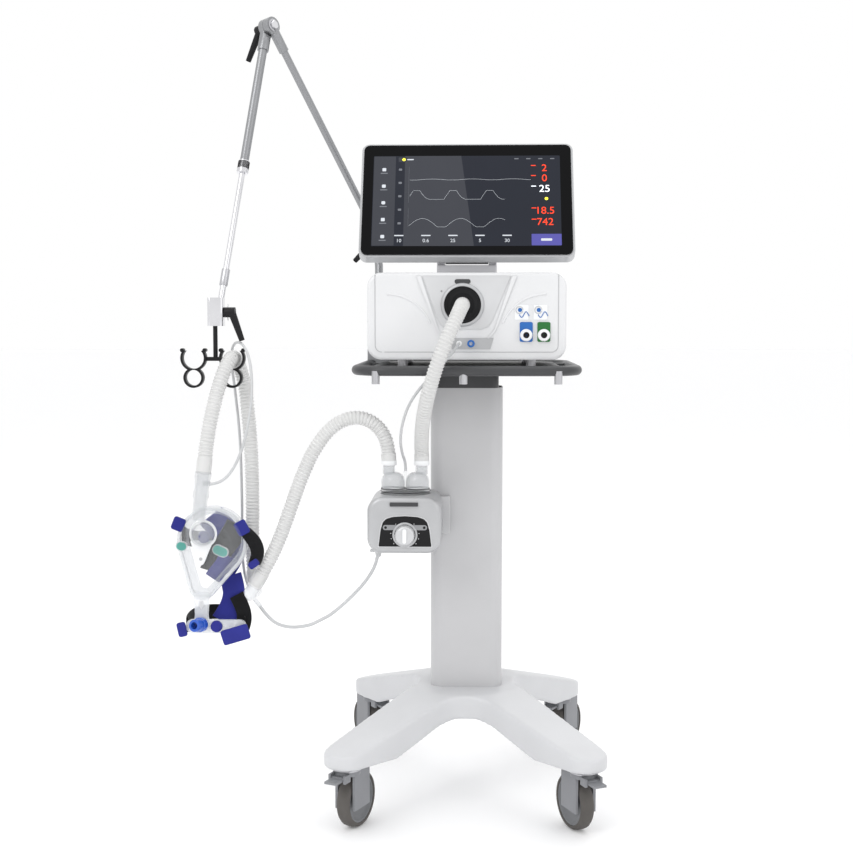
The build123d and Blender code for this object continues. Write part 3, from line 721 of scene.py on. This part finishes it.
def make_screen_frame(white, grey):
    """The display's grey ground, a painted reflection across it, its menu and its captions."""
    screen_slab("display", DISPLAY, rounded(344, 194, 1.5, 3), (0, DRAWING_MIDDLE), 0.05, 0.2)
    # display_sheen: a lighter glowing band with a slanted edge, painted across the display as a reflection on
    # its glass
    sheen = [(-114, 97), (-10, 97), (14, -97), (-114, -97)]
    screen_slab("display_sheen", DISPLAY_PANEL_AND_SHEEN, sheen, (0, DRAWING_MIDDLE), 0.28, 0.05)
    screen_slab("display_menu", DISPLAY_PANEL_AND_SHEEN, rounded(40, 192, 1, 3), (-151, DRAWING_MIDDLE), 0.28, 0.08)
    screen_slab("display_top_row", DISPLAY_PANEL_AND_SHEEN, rounded(40, 10, 1.5, 3), (-106, 208), 0.35, 0.08)
    screen_slab("start_key", glowing("key_violet", (0.065, 0.062, 0.24), 0.6), rounded(54, 24, 1, 3), (145, 35),
                0.3, 0.12)
    for k, setting in enumerate(("10", "0.6", "25", "5", "30")):
        icon = rounded(7, 7, 1.2 + 0.5 * (k % 3), 4)
        screen_slab(f"menu_icon_{k}", white, icon, (-152, 186 - 36 * k), 0.45, 0.06)
        screen_slab(f"menu_caption_{k}", grey, rounded(13, 2.2, 0.8, 3), (-152, 178 - 36 * k), 0.45, 0.06)
        screen_slab(f"row_mark_{k}", grey, rounded(6, 4.5, 1.0, 3), (-122, 186 - 29 * k), 0.45, 0.06)
        screen_number(f"setting_{k}", white, setting, (-122 + 49 * k, 33), 7)
        screen_slab(f"setting_caption_{k}", white, rounded(17, 2.4, 0.8, 3), (-122 + 49 * k, 44), 0.45, 0.06)


def make_traces(white, grey):
    """The three waveforms and their axes: (name, curve, width, breaths, start, height, swing)."""
    for k, height in enumerate((168, 130, 78)):
        axis = [(-106, height + rise) for rise in (-16, 4, 24)]
        screen_trace(f"trace_axis_{k}", grey, axis, 0.35)
    for name, curve, width, breaths, shift, height, swing in (
            ("trace_pressure", hump, 222, 3, -0.15, 163, 2.0),
            ("trace_flow", flow, 174, 2.6, 0.06, 121, 19),
            ("trace_volume", hump, 174, 2.5, 0.05, 62, 18)):
        times = [k / TRACE_STEPS for k in range(TRACE_STEPS + 1)]
        points = [(-104 + width * t, height + swing * curve(t * breaths + shift)) for t in times]
        screen_trace(name, white, points, 0.42)


def make_figures(white, grey):
    """Plain figures down the right side, the dots and the blank captions."""
    red = glowing("figure_red", (0.72, 0.05, 0.02), 0.8)
    yellow = glowing("figure_yellow", (0.85, 0.75, 0.05), 1.2)
    bright = glowing("figure_white", (0.8, 0.85, 0.9), 0.8)
    figures = (("2", red, 188), ("0", red, 166), ("25", bright, 143), ("18.5", red, 96), ("742", red, 72))
    for k, (value, look, height) in enumerate(figures):
        screen_number(f"figure_{k}", look, value, (143, height), 15)
        screen_slab(f"figure_caption_{k}", look, rounded(9, 1.8, 0.7, 3), (123, height + 6), 0.45, 0.06)
    screen_slab("alarm_dot", yellow, rounded(6, 6, 2.9, 6), (146, 122), 0.45, 0.06)
    screen_slab("mode_dot", yellow, rounded(6, 6, 2.9, 6), (-116, 208), 0.48, 0.06)
    screen_slab("mode_caption", white, rounded(12, 2.4, 0.8, 3), (-104, 208), 0.48, 0.06)
    screen_slab("start_key_caption", white, rounded(20, 5, 1.5, 4), (145, 35), 0.45, 0.06)
    for k in range(4):
        screen_slab(f"status_{k}", grey, rounded(8, 2.2, 0.8, 3), (92 + 22 * k, 209), 0.45, 0.06)


def make_monitor():
    paint(SILVER_PLASTIC, "monitor_back")
    paint(GLASS_BLACK, "monitor_glass")
    white = glowing("trace_white", (0.42, 0.44, 0.47), 0.6)
    grey = glowing("trace_grey", (0.12, 0.125, 0.14), 0.6)
    make_screen_frame(white, grey)
    make_traces(white, grey)
    make_figures(white, grey)
    slab("monitor_rear_panel", "monitor", PALE_SILVER, rounded(300, 150, 18, 6),
         on_glass(0, 118, MONITOR_BACK + 0.2), BACKWARDS_RIGHT, GLASS_UP, 1.6, 0.6)
    for k in range(7):
        slab(f"monitor_vent_{k}", "monitor", BLACK, rounded(120, 3, 1.4, 4),
             on_glass(0, 160 + 7 * k, MONITOR_BACK - 1.3), BACKWARDS_RIGHT, GLASS_UP, 0.5, 0.1)


# ---- humidifier ----
HUM_X, HUM_FACE = -107, -190.0
DIAL_Z, DIAL_TEETH, DIAL_RIM_R, DIAL_TOOTH = 518, 40, 15.8, 1.022
CHAMBER_X, CHAMBER_Y = -109, -128
CHAMBER_PORTS = (-139, -80)


def make_dial():
    """A knob with fine teeth round its rim, its grip and the marks round it."""
    lathe("dial_bezel", "root", SILVER_PLASTIC, (HUM_X, HUM_FACE - 2, DIAL_Z), FORWARDS,
          [(0, 18.5), (0, 22), (0.8, 22), (1.4, 21), (1.4, 18.5)], 72)
    profile = [(0, 1), (0, 17.2), (10, 17.2), (13.5, 15.8), (15, 13.5), (15, 1)]
    turning = lathe("dial_knob", "humidifier_dial", PALE_SILVER, (HUM_X, HUM_FACE - 3.5, DIAL_Z), FORWARDS,
                    profile, DIAL_TEETH * 4)
    centre = Vector((HUM_X, 0, DIAL_Z)) * MM
    for vertex in turning.data.vertices:
        flat = Vector((vertex.co.x, 0, vertex.co.z)) - centre
        on_tooth = math.cos(math.atan2(flat.z, flat.x) * DIAL_TEETH) > 0
        if on_tooth and flat.length > DIAL_RIM_R * MM:
            flat *= DIAL_TOOTH
        vertex.co.x = centre.x + flat.x
        vertex.co.z = centre.z + flat.z
    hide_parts("dial")
    slab("dial_grip", "humidifier_dial", WHITE_PLASTIC, rounded(7, 25, 3, 5), (HUM_X, HUM_FACE - 18, DIAL_Z),
         RIGHT, UP, 4.0, 1.2)
    for side, hand in SIDES:
        for k in range(5):
            angle = math.radians(90 + side * (40 + 22 * k))
            place = (HUM_X + 25 * math.cos(angle), HUM_FACE - 2, DIAL_Z + 25 * math.sin(angle))
            slab(f"dial_mark_{k}_{hand[0]}", "root", WHITE_PLASTIC, rounded(1.4, 1.4, 0.6, 3), place, RIGHT, UP,
                 0.4, 0.1)


def make_chamber():
    """The clear water chamber on its heater plate, with a domed port at each hose."""
    def round_part(name, look, x, z, profile, around=96):
        return lathe(name, "root", look, (x, CHAMBER_Y, z), UP, profile, around)

    pot = round_part("chamber_pot", CLEAR, CHAMBER_X, 576.5,
                     [(0, 1), (0, 43), (2, 44.6), (9, 44.6), (12, 43), (13, 38), (13, 1), (11, 1), (11, 37),
                      (8, 41.6), (3, 42.2), (2, 41), (2, 1)])
    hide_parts("water_chamber")
    round_part("chamber_heater_plate", STEEL, CHAMBER_X, 573.8, [(0, 1), (0, 44), (2.4, 44), (2.4, 1)])
    round_part("chamber_seam", BLACK, CHAMBER_X, 588, [(0, 44.4), (0.2, 45.0), (1.0, 45.0), (1.2, 44.4)])
    for k, (x, inward) in enumerate(zip(CHAMBER_PORTS, (7.5, -7.5))):
        round_part(f"chamber_dome_{k}", CLEAR_TUBE, x + inward, 590,
                   [(0, 20.5), (2, 21.6), (16, 21.4), (24, 19.6), (29, 15.5), (31, 12.2), (31, 10.6), (28, 14),
                    (23, 18), (15, 20), (3, 20.2), (0, 19)], 64)
        round_part(f"chamber_ring_{k}", BLACK, x + inward, 592,
                   [(0, 21.4), (0.2, 22.2), (1.2, 22.2), (1.4, 21.4)], 64)
        round_part(f"chamber_stub_{k}", CLEAR_TUBE, x, 618,
                   [(0, 9.4), (0, 11.4), (17, 11), (17.8, 10.6), (17.8, 9.4)], 56)
        round_part(f"hose_cuff_{k}", WHITE_PLASTIC, x, 634.5,
                   [(0, 11.6), (0, 13.2), (1, 14), (7, 14), (8.5, 13.6), (8.5, 13.4), (0.5, 11.6)], 56)
    round_part("chamber_bridge", CLEAR, CHAMBER_X, 590, [(0, 3), (0, 8.5), (26, 8), (33, 5), (34, 3)], 48)


def make_humidifier():
    paint(SILVER_PLASTIC, "humidifier_body")
    face_outline = [(-46.5, -1), (46.5, -1), (43, 28), (39, 42), (33, 48), (22, 51.5), (0, 53), (-22, 51.5),
                    (-33, 48), (-39, 42), (-43, 28)]
    foot = (HUM_X, HUM_FACE + 1, 498)
    face = slab("humidifier_face", "root", BLACK, face_outline, foot, RIGHT, UP, 3.2, 0.8)
    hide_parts("humidifier_panel")
    rim = [(x * 1.045, 25 + (z - 25) * 1.06) for x, z in face_outline]
    slab("humidifier_face_rim", "root", PALE_SILVER, rim, foot, RIGHT, UP, 2.0, 0.6)
    slab("humidifier_strip", "root", ARM_GREY, rounded(78, 9, 4.4, 6), (HUM_X, HUM_FACE - 2.2, 531), RIGHT, UP,
         0.8, 0.3)
    paint(DARK_PAINT, "latch_button")
    soften(0.8, "latch_button")
    for side, hand in SIDES:
        lathe("panel_icon_" + hand, "root", BLACK, (HUM_X + 34 * side, HUM_FACE - 2.9, 531), FORWARDS,
              [(0, 1), (0, 2.4), (0.5, 2.4), (0.5, 1)], 24)
    make_dial()
    make_chamber()
    lathe("cable_plug", "root", LINE, (-158, -135, 486), (0, 0, -1),
          [(0, 3), (0, 8.5), (7, 8.5), (9, 6), (16, 4.4), (17, 3.2)], 40)
    slab("cable_plug_wing", "root", LINE, rounded(30, 5, 2.2, 4), (-158, -132, 480), RIGHT, UP, 5, 1.2)


# ---- support arm ----
ROD_TIP = Vector((-436, -150, 926))
NUT_OUT, ROD_OFFSET = 12.3, 6.25  # from the joint along its axis, in millimetres


def make_arm():
    paint(ARM_GREY, "arm_post", "lower_arm", "upper_arm", "post_clamp")
    soften(1.0, "post_clamp", "lower_arm", "upper_arm", "arm_post", segments=2, angle=60)
    paint(CHROME, "extension_rod", "tilt_bracket")
    soften(1.2, "tilt_bracket", angle=50)
    paint(BLACK, "elbow_lever", "top_lever", "bracket_lever", "hose_hooks")
    soften(1.2, "elbow_lever", "top_lever", "bracket_lever", angle=60)
    soften(0.9, "hose_hooks", angle=60)
    for joint, side in (("arm_elbow", -1), ("arm_top", 1)):
        at, axis = joint_place(joint)
        outer = at + axis * (side * NUT_OUT)
        lathe(joint + "_nut", "arm_lower", CHROME, outer, axis * side,
              [(0, 1), (0, 8.5), (4.5, 8.5), (5.5, 7.5), (5.5, 1)], 6)
        lathe(joint + "_washer", "arm_lower", STEEL, outer, axis * side,
              [(0, 8), (0, 11.5), (1.2, 11.5), (1.4, 11), (1.4, 8)], 48)
    at, axis = joint_place("arm_top")
    top = at - axis * ROD_OFFSET
    reach = (ROD_TIP - top).length
    way = (ROD_TIP - top).normalized()
    for k in range(11):
        at = top + way * (0.5 * reach + 2 + 2.0 * k)
        lathe(f"collar_rib_{k}", "arm_upper", BLACK if k < 7 else CHROME, at, way,
              [(0, 9.6), (0, 10.6), (1.1, 10.6), (1.1, 9.6)], 40)
    lathe("rod_tip_sleeve", "arm_upper", STEEL, top + way * (reach - 62), way,
          [(0, 5.4), (0.5, 7.4), (30, 7.4), (31, 6.8), (31, 5.4)], 40)
    slab("bracket_pad", "arm_upper", WHITE_PLASTIC, rounded(16, 30, 4, 5), (-424.5, -141, 908), (0, 1, 0), UP,
         0.1, 0.0)
    lathe("clamp_screw", "root", BLACK, (-178, 206, 812), (0, 1, 0),
          [(0, 1), (0, 5), (6, 5), (7, 13), (18, 13), (19, 11), (19, 1)], 24)


# ---- mask ----
MASK_X, MASK_Z, MASK_R = -452.0, 500.0, 60.0
NOSE_X, NOSE_Z, NOSE_R = -470.0, 421.0, 22.0
RIM_POINTS, ARC_POINTS = 96, 60
KNEE = (-461, -203, 520)
BROW_Z = 350


def mask_outline(grow):
    """Evenly spaced points round the teardrop rim, grown outwards or inwards."""
    apart = math.hypot(MASK_X - NOSE_X, MASK_Z - NOSE_Z)
    axis = math.atan2(MASK_Z - NOSE_Z, MASK_X - NOSE_X) - math.pi / 2
    lean = math.asin((MASK_R - NOSE_R) / apart)
    raw = []
    for first, last, cx, cz, radius in ((-lean, math.pi + lean, MASK_X, MASK_Z, MASK_R),
                                        (math.pi + lean, 2 * math.pi - lean, NOSE_X, NOSE_Z, NOSE_R)):
        reach = max(radius + grow, 0.5)
        for k in range(ARC_POINTS):
            angle = axis + first + (last - first) * k / ARC_POINTS
            raw.append((cx + reach * math.cos(angle), cz + reach * math.sin(angle)))
    raw = np.array(raw + raw[:1])
    return resample(raw, np.linspace(0, lengths(raw)[-1], RIM_POINTS, endpoint=False))


def mask_rings(name, look, rings, closed=True):
    """A skin through rim outlines, each given as (how far grown, its depth y)."""
    points = [(x * MM, y * MM, z * MM) for grow, y in rings for x, z in mask_outline(grow)]
    return add_mesh(name, points, rings_to_faces(len(rings), RIM_POINTS, closed), "arm_upper", look)


def plate(name, look, outline, place, thickness, bevel):
    """A flat piece of the mask, facing forwards."""
    return slab(name, "arm_upper", look, outline, place, RIGHT, UP, thickness, bevel)


def knob(name, look, place, axis, profile, around=48):
    """A turned piece of the mask."""
    return lathe(name, "arm_upper", look, place, axis, profile, around)


def ribbon(name, look, route, width, thickness, across):
    """A padded strap along a route, with rounded edges, broad along the across direction."""
    line = smooth_line(metres(*route))[::4]
    across = np.array(across, float)
    section = rounded(width, thickness, thickness * 0.48, 3)
    points = []
    for middle, (t, _, _) in zip(line, frames_along(line)):
        wide = across - t * np.dot(across, t)
        wide = wide / np.linalg.norm(wide)
        thin = np.cross(t, wide)
        points += [middle + (wide * u + thin * v) * MM for u, v in section]
    faces = rings_to_faces(len(line), len(section))
    piece = add_mesh(name, points, faces, "arm_upper", look)
    return piece


def make_mask():
    outer = [(0.0, -165.0), (-0.5, -176), (-2, -186), (-6, -194), (-12, -199.5), (-20, -203), (-21.4, -203.4)]
    inner = [(-21.4, -200.6), (-19, -200.4), (-14, -197), (-8.5, -192), (-4.8, -185), (-3.2, -176),
             (-2.8, -165)]
    shell = mask_rings("mask_shell", CLEAR, outer + inner)
    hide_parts("mask_frame")
    mask_rings("mask_face_plate", CLEAR, [(-21, -203.6), (-21, -201)], closed=False)
    rim = [(1.6, -168), (3.4, -170), (3.4, -175), (1.6, -178), (-3.0, -178), (-3.0, -168)]
    mask_rings("mask_rim", CLEAR_RIM, rim)
    lip = [(1.5, -167.5), (3.4, -162), (3.8, -154), (2.4, -146), (-2, -141.5), (-8, -141), (-12.5, -144),
           (-12.8, -147), (-8, -145.4), (-3, -147), (-1.2, -153), (-1.8, -162), (-3, -167.5)]
    cushion = mask_rings("mask_soft_cushion", SILICONE, lip)
    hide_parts("mask_cushion")
    make_brow()
    for k, (x, z, wide, tall, angle) in enumerate(((-501, 497, 17, 14, -10), (-432, 489, 26, 15, -24))):
        for ring, (look, grow, lift) in enumerate(((CLEAR_RIM, 4, 0.0), (TEAL, 0, 1.6))):
            oval = turned(rounded(wide + grow, tall + grow, 0.49 * (tall + grow), 8), angle)
            plate(f"vent_plug_{k}_{ring}", look, oval, (x, -198.5 - lift, z), 3, 1.0)
    make_swivel()
    make_straps()


def make_brow():
    """The stem below the shell and the bar across its foot, with the blue port."""
    stem = [(-12, -34), (-17, -56), (17, -56), (12, -34), (15, 8), (-15, 8)]
    plate("mask_stem", CLEAR_RIM, stem, (NOSE_X, -180, 404), 6, 1.8)
    slot = [(-4, -9), (0, -15), (4, -9), (3, 0), (-3, 0)]
    plate("mask_stem_slot", PALE_SILVER, slot, (NOSE_X, -186.2, 396), 0.8, 0.2)
    plate("brow_bar", CLEAR_RIM, rounded(108, 24, 11, 8), (-445, -177, BROW_Z), 8, 2.4)
    plate("brow_pad", SILICONE, rounded(84, 18, 8, 8), (-445, -168, BROW_Z), 8, 3)
    knob("blue_port_plug", BLUE_PLASTIC, (NOSE_X, -187, BROW_Z + 4), (-0.32, -0.94, 0.12),
         [(0, 5), (0, 13), (9, 13), (10, 11.6), (25, 11), (26, 10.2), (26, 6.4), (9, 5)])
    knob("blue_button", BLUE_FABRIC, (-443, -186, BROW_Z + 1), FORWARDS,
         [(0, 1), (0, 10.5), (3, 10.5), (4.5, 9), (4.5, 1)], 40)


def make_swivel():
    """Clear tube, wider swivel and domed knee that carry the hose into the mask."""
    end = Vector(LIMB_D[-1]) / MM
    way = (end - Vector(LIMB_D[-2]) / MM).normalized()
    tube = knob("swivel_tube", CLEAR_TUBE, end - way * 2, way,
                [(0, 10.4), (0, 14.6), (10, 14.6), (12, 13.6), (30, 12.6), (33, 14), (44, 14), (46, 12.6),
                 (72, 12), (84, 11.5), (84, 9.6), (40, 10.2)], 64)
    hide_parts("mask_elbow")
    knob("knee_dome", CLEAR_TUBE, KNEE, FORWARDS,
         [(0, 17), (0, 21), (10, 21), (20, 19.5), (28, 15.5), (33, 9), (34.5, 2), (32.5, 1), (30.5, 8),
          (26, 13.6), (19, 17), (10, 18.6)], 64)
    knob("knee_ring", WHITE_PLASTIC, KNEE, FORWARDS, [(0, 20.6), (0, 24), (3, 24.6), (5, 23.6), (5, 20.6)], 64)
    knob("valve_disc", BLUE_FABRIC, (-459, -210, 516), (0.2, -1, 0),
         [(0, 1), (0, 10.5), (8, 10.5), (10, 8), (10, 1)])
    beak = [(-17, -14), (-10, -38), (-6, -43), (-1, -43), (3, -38), (12, -16), (20, 2), (-22, 2)]
    plate("white_beak", WHITE_PLASTIC, beak, (-462, -206, 507), 4.5, 1.6)
    knob("beak_hole", SILVER_PLASTIC, (-465, -210.4, 476), FORWARDS, [(0, 1), (0, 3), (0.5, 3), (0.5, 1)], 24)
    knob("line_spigot", CLEAR_TUBE, (-456, -223.0, 611.2), (19, -2, 2),
         [(0, 2), (0, 4.4), (10, 4.4), (11, 3.6), (12, 2)], 32)


def make_straps():
    """Headgear: two bands behind the mask, the crumpled crown seen through it and the clips that hold them."""
    upper = [(-506, -164, 516), (-508, -142, 506), (-503, -112, 496), (-478, -95, 492), (-446, -96, 494),
             (-425, -112, 500), (-422, -130, 508)]
    headgear = ribbon("headgear_upper", BLACK_FABRIC, upper, 30, 3.6, UP)
    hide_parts("headgear")
    lower = [(-499, -172, 350), (-503, -150, 352), (-496, -112, 356), (-470, -93, 358), (-440, -93, 356),
             (-414, -106, 352), (-400, -135, 350), (-396, -168, 350)]
    ribbon("headgear_lower", BLACK_FABRIC, lower, 28, 3.6, UP)
    crown = [(-462, -130, 541), (-450, -124, 526), (-432, -131, 506), (-424, -125, 484), (-432, -129, 462),
             (-446, -125, 440)]
    ribbon("headgear_crown_blue", BLUE_FABRIC, crown, 52, 5, (0.75, 0, 0.5))
    crease = [(-412, -137, 527), (-424, -133, 504), (-440, -137, 484), (-456, -133, 462), (-462, -136, 440)]
    ribbon("headgear_crown_black", BLACK_FABRIC, crease, 42, 5, (0.8, 0, 0.3))
    fold = [(-430, -141, 470), (-438, -139, 455), (-450, -141, 440), (-459, -139, 428)]
    ribbon("headgear_fold_blue", BLUE_FABRIC, fold, 30, 4, (0.8, 0, 0.25))
    tail = [(-424, -150, 436), (-416, -156, 412), (-419, -152, 390), (-429, -156, 368), (-440, -162, 352)]
    ribbon("headgear_tail_blue", BLUE_FABRIC, tail, 40, 4, (1, 0, -0.1))
    edge = [(-412, -158, 402), (-402, -162, 384), (-397, -160, 364), (-399, -165, 346), (-408, -168, 328)]
    ribbon("headgear_tail_black", BLACK_FABRIC, edge, 27, 4, (1, 0, 0.15))
    loop = [(-392, -176, 520), (-381, -178, 510), (-372, -174, 494), (-370, -170, 476), (-378, -168, 460)]
    ribbon("side_loop_black", BLACK_FABRIC, loop, 26, 4, (0.8, 0.6, 0))
    for name, place, wide, tall, angle in (("clip_upper_left", (-509, -184, 534), 22, 24, -22),
                                           ("clip_upper_right", (-396, -184, 528), 22, 26, 28),
                                           ("clip_lower_left", (-504, -190, 346), 16, 26, 12),
                                           ("clip_lower_right", (-408, -192, 338), 50, 27, 17),
                                           ("clip_side", (-377, -176, 462), 20, 13, 35)):
        plate(name, BLUE_FABRIC, turned(rounded(wide, tall, 4, 5), angle), place, 4, 1.2)


def make_junction():
    paint(CLEAR_RIM, "circuit_junction")
    soften(1.0, "circuit_junction", angle=60)


# ---- floor and light ----
FLOOR_R, FLOOR_SIDES = 40.0, 72
LIGHTS = (("key", (-1.8, -2.6, 2.7), (0, 0, 0.8), (1.8, 1.8), 26),
          ("fill", (2.4, -2.2, 1.8), (0, 0, 0.7), (2.0, 2.0), 8),
          ("top", (0, 0.2, 3.3), (0, 0, 0.5), (3.0, 3.0), 24),
          ("back", (0.8, 2.6, 2.4), (0, 0, 1.0), (2.0, 1.4), 8))


def make_stage():
    """A wide round floor, which meets the pale background far away."""
    rim = [(x, y, 0.0) for x, y in arc_points(0, 0, FLOOR_R, 0, 360, FLOOR_SIDES)[:-1]]
    floor = bpy.data.meshes.new("floor")
    floor.from_pydata(rim, [], [tuple(range(FLOOR_SIDES))])
    look = material("pale_floor", (0.9, 0.9, 0.905), 0.7, grain=40, bump=0.0, vary=0.002,
                    Specular_IOR_Level=0.1, Emission_Color=(1, 1, 1, 1), Emission_Strength=0.092)
    floor.materials.append(look)
    piece = bpy.data.objects.new("floor", floor)
    link(piece)


def area_light(name, place, aim, size, power):
    data = bpy.data.lights.new(name, "AREA")
    data.shape = "RECTANGLE"
    data.size, data.size_y = size
    data.energy = power
    lamp = bpy.data.objects.new(name, data)
    lamp.location = place
    lamp.rotation_mode = "QUATERNION"
    lamp.rotation_quaternion = (Vector(aim) - Vector(place)).to_track_quat("-Z", "Y")
    link(lamp)


def make_light():
    for light in LIGHTS:
        area_light(*light)
    world = bpy.data.worlds.new("studio")
    world.use_nodes = True
    set_inputs(world.node_tree.nodes["Background"], {"Color": (1, 1, 1, 1), "Strength": 1.0})
    bpy.context.scene.world = world
    bpy.context.scene.view_settings.view_transform = "Standard"


make_cart()
make_casters()
make_housing()
make_monitor()
make_humidifier()
make_arm()
make_mask()
make_junction()
make_stage()
make_light()
